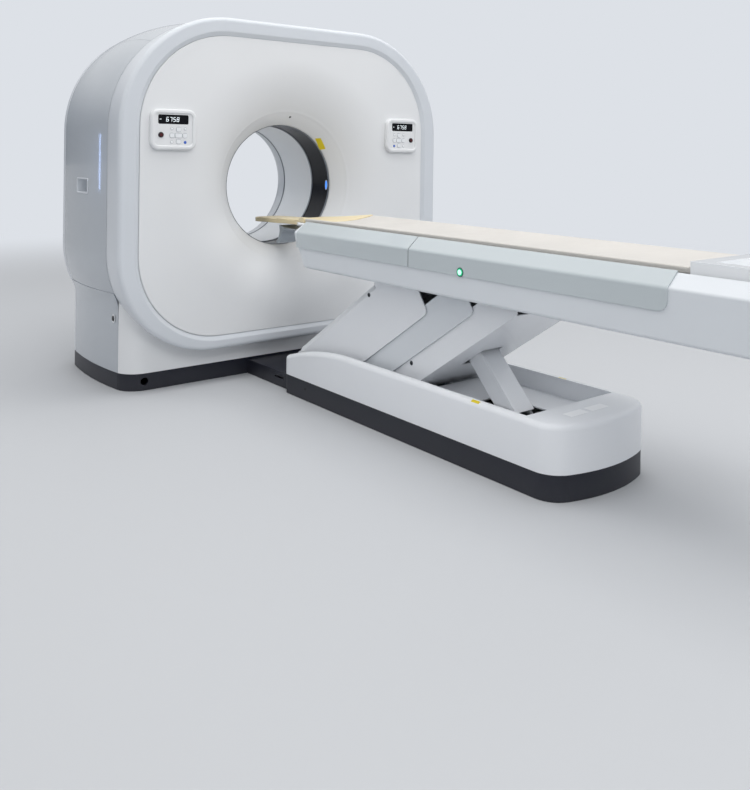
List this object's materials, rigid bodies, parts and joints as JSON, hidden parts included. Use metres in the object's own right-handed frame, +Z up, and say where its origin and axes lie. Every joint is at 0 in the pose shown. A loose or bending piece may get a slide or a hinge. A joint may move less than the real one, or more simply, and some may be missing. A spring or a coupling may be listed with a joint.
{
  "type": "ct scanner",
  "caption": "Ring-shaped CT gantry with a flared patient bore and control pods, joined by a floor channel to a patient table with a parallelogram lift and a sliding cradle.",
  "frame": {"origin": "on the floor at the centre of the gantry anchor holes", "axes": "+Z up; +Y along the bore, away from the table; +X to the right as seen from the table"},
  "size_m": [2.104, 3.9, 1.972],
  "materials": {
    "cover_white": "gloss",
    "cover_cool": "gloss",
    "table_cover": "satin",
    "band_grey": "gloss",
    "skirt_dark": "satin",
    "frame_paint": "satin",
    "rotor_alloy": "satin",
    "steel": "satin",
    "coil_copper": "satin",
    "housing_paint": "satin",
    "ring_dark": "gloss",
    "liner_grey": "satin",
    "trim_metal": "satin",
    "display_glass": "gloss",
    "key_white": "satin",
    "stop_dark": "satin",
    "button_green": "gloss",
    "vinyl_cream": "satin",
    "vinyl_tan": "satin",
    "cradle_white": "satin"
  },
  "bodies": {
    "scanner": {"gantry_base_frame": "frame_paint", "stator_frame": "frame_paint", "main_bearing": "steel", "drive_stator": "coil_copper", "gantry_skirt_front": "skirt_dark", "gantry_skirt_rear": "skirt_dark", "lower_front_cover": "cover_cool", "front_bezel": "cover_cool", "front_panel": "cover_white", "side_cover_left": "cover_cool", "side_cover_right": "cover_cool", "lower_side_cover_left": "cover_cool", "lower_side_cover_right": "cover_cool", "top_cover": "cover_cool", "rear_cover": "cover_cool", "bore_window": "ring_dark", "bore_liner": "liner_grey", "bore_trims": "trim_metal", "pod_left": "cover_white", "pod_right": "cover_white", "pod_display_left": "display_glass", "pod_display_right": "display_glass", "table_base_frame": "frame_paint", "base_cover": "table_cover", "base_skirt": "skirt_dark", "floor_channel": "skirt_dark", "lift_screw": "steel"},
    "rotor": {"rotor_drum": "rotor_alloy", "slip_ring": "coil_copper", "xray_tube": "housing_paint", "collimator": "housing_paint", "hv_generator": "housing_paint", "cooling_unit": "housing_paint", "detector_array": "housing_paint"},
    "front_arm": {"front_arm": "table_cover"},
    "middle_arm": {"middle_arm_cover": "table_cover"},
    "rear_arm": {"rear_arm": "table_cover"},
    "strut": {"strut": "table_cover"},
    "nut": {"nut_block": "steel"},
    "carriage": {"carriage_frame": "frame_paint", "carriage_cover": "table_cover", "side_bands": "band_grey"},
    "cradle": {"cradle": "cradle_white", "mattress": "vinyl_cream", "head_holder": "vinyl_tan"},
    "table_button": {"table_button": "button_green"},
    "lock_left": {"cover_lock_left": "skirt_dark"},
    "lock_right": {"cover_lock_right": "skirt_dark"},
    "stop_left": {"stop_button_left": "stop_dark"},
    "stop_right": {"stop_button_right": "stop_dark"},
    "up_key_left": {"up_key_left": "key_white"},
    "down_key_left": {"down_key_left": "key_white"},
    "in_key_left": {"in_key_left": "key_white"},
    "out_key_left": {"out_key_left": "key_white"},
    "centre_key_left": {"centre_key_left": "key_white"},
    "up_key_right": {"up_key_right": "key_white"},
    "down_key_right": {"down_key_right": "key_white"},
    "in_key_right": {"in_key_right": "key_white"},
    "out_key_right": {"out_key_right": "key_white"},
    "centre_key_right": {"centre_key_right": "key_white"}
  },
  "joints": [
    {"name": "rotor_spin", "type": "hinge", "parent": "scanner", "child": "rotor", "pos_m": [0, 0.06, 1.048], "axis": [0, 1, 0], "continuous": true},
    {"name": "lift", "type": "hinge", "parent": "scanner", "child": "front_arm", "pos_m": [0, -0.892, 0.165], "axis": [-1, 0, 0], "range_deg": [-5.5, 6.5]},
    {"name": "middle_arm_pivot", "type": "hinge", "parent": "scanner", "child": "middle_arm", "pos_m": [0, -1.345, 0.165], "axis": [-1, 0, 0], "range_deg": [-5.6, 6.6]},
    {"name": "rear_arm_pivot", "type": "hinge", "parent": "scanner", "child": "rear_arm", "pos_m": [0, -1.508, 0.165], "axis": [-1, 0, 0], "range_deg": [-5.6, 6.6]},
    {"name": "carriage_pivot", "type": "hinge", "parent": "front_arm", "child": "carriage", "pos_m": [0, -1.71671, 0.71087], "axis": [-1, 0, 0], "range_deg": [-6.6, 5.6]},
    {"name": "strut_pivot", "type": "hinge", "parent": "rear_arm", "child": "strut", "pos_m": [0, -1.93598, 0.42429], "axis": [-1, 0, 0], "range_deg": [-17, 14.4]},
    {"name": "nut_pivot", "type": "hinge", "parent": "strut", "child": "nut", "pos_m": [0, -2.20583, 0.14969], "axis": [-1, 0, 0], "range_deg": [-8.9, 10.5]},
    {"name": "cradle_slide", "type": "slide", "parent": "carriage", "child": "cradle", "axis": [0, 1, 0], "range_m": [-0.25, 1.25]},
    {"name": "table_button_push", "type": "slide", "parent": "carriage", "child": "table_button", "axis": [1, 0, 0], "range_m": [0, 0.003], "stiffness_N_per_m": 900, "springref_m": -0.002},
    {"name": "cover_lock_left_turn", "type": "hinge", "parent": "scanner", "child": "lock_left", "pos_m": [-0.96554, -0.235, 0.365], "axis": [-1, 0, 0], "range_deg": [0, 90]},
    {"name": "stop_button_left_push", "type": "slide", "parent": "scanner", "child": "stop_left", "axis": [0, 1, 0], "range_m": [0, 0.004], "stiffness_N_per_m": 1500, "springref_m": -0.002},
    {"name": "up_key_left_push", "type": "slide", "parent": "scanner", "child": "up_key_left", "axis": [0, 1, 0], "range_m": [0, 0.0015], "stiffness_N_per_m": 900, "springref_m": -0.001},
    {"name": "down_key_left_push", "type": "slide", "parent": "scanner", "child": "down_key_left", "axis": [0, 1, 0], "range_m": [0, 0.0015], "stiffness_N_per_m": 900, "springref_m": -0.001},
    {"name": "in_key_left_push", "type": "slide", "parent": "scanner", "child": "in_key_left", "axis": [0, 1, 0], "range_m": [0, 0.0015], "stiffness_N_per_m": 900, "springref_m": -0.001},
    {"name": "out_key_left_push", "type": "slide", "parent": "scanner", "child": "out_key_left", "axis": [0, 1, 0], "range_m": [0, 0.0015], "stiffness_N_per_m": 900, "springref_m": -0.001},
    {"name": "centre_key_left_push", "type": "slide", "parent": "scanner", "child": "centre_key_left", "axis": [0, 1, 0], "range_m": [0, 0.0015], "stiffness_N_per_m": 900, "springref_m": -0.001},
    {"name": "cover_lock_right_turn", "type": "hinge", "parent": "scanner", "child": "lock_right", "pos_m": [0.96554, -0.235, 0.365], "axis": [1, 0, 0], "range_deg": [0, 90]},
    {"name": "stop_button_right_push", "type": "slide", "parent": "scanner", "child": "stop_right", "axis": [0, 1, 0], "range_m": [0, 0.004], "stiffness_N_per_m": 1500, "springref_m": -0.002},
    {"name": "up_key_right_push", "type": "slide", "parent": "scanner", "child": "up_key_right", "axis": [0, 1, 0], "range_m": [0, 0.0015], "stiffness_N_per_m": 900, "springref_m": -0.001},
    {"name": "down_key_right_push", "type": "slide", "parent": "scanner", "child": "down_key_right", "axis": [0, 1, 0], "range_m": [0, 0.0015], "stiffness_N_per_m": 900, "springref_m": -0.001},
    {"name": "in_key_right_push", "type": "slide", "parent": "scanner", "child": "in_key_right", "axis": [0, 1, 0], "range_m": [0, 0.0015], "stiffness_N_per_m": 900, "springref_m": -0.001},
    {"name": "out_key_right_push", "type": "slide", "parent": "scanner", "child": "out_key_right", "axis": [0, 1, 0], "range_m": [0, 0.0015], "stiffness_N_per_m": 900, "springref_m": -0.001},
    {"name": "centre_key_right_push", "type": "slide", "parent": "scanner", "child": "centre_key_right", "axis": [0, 1, 0], "range_m": [0, 0.0015], "stiffness_N_per_m": 900, "springref_m": -0.001}
  ],
  "couplings": [
    {"joint": "middle_arm_pivot", "follows": "lift", "ratio": 1},
    {"joint": "rear_arm_pivot", "follows": "lift", "ratio": 1},
    {"joint": "carriage_pivot", "follows": "lift", "ratio": -1},
    {"joint": "strut_pivot", "follows": "lift", "ratio": -2.6},
    {"joint": "nut_pivot", "follows": "lift", "ratio": 1.6}
  ]
}
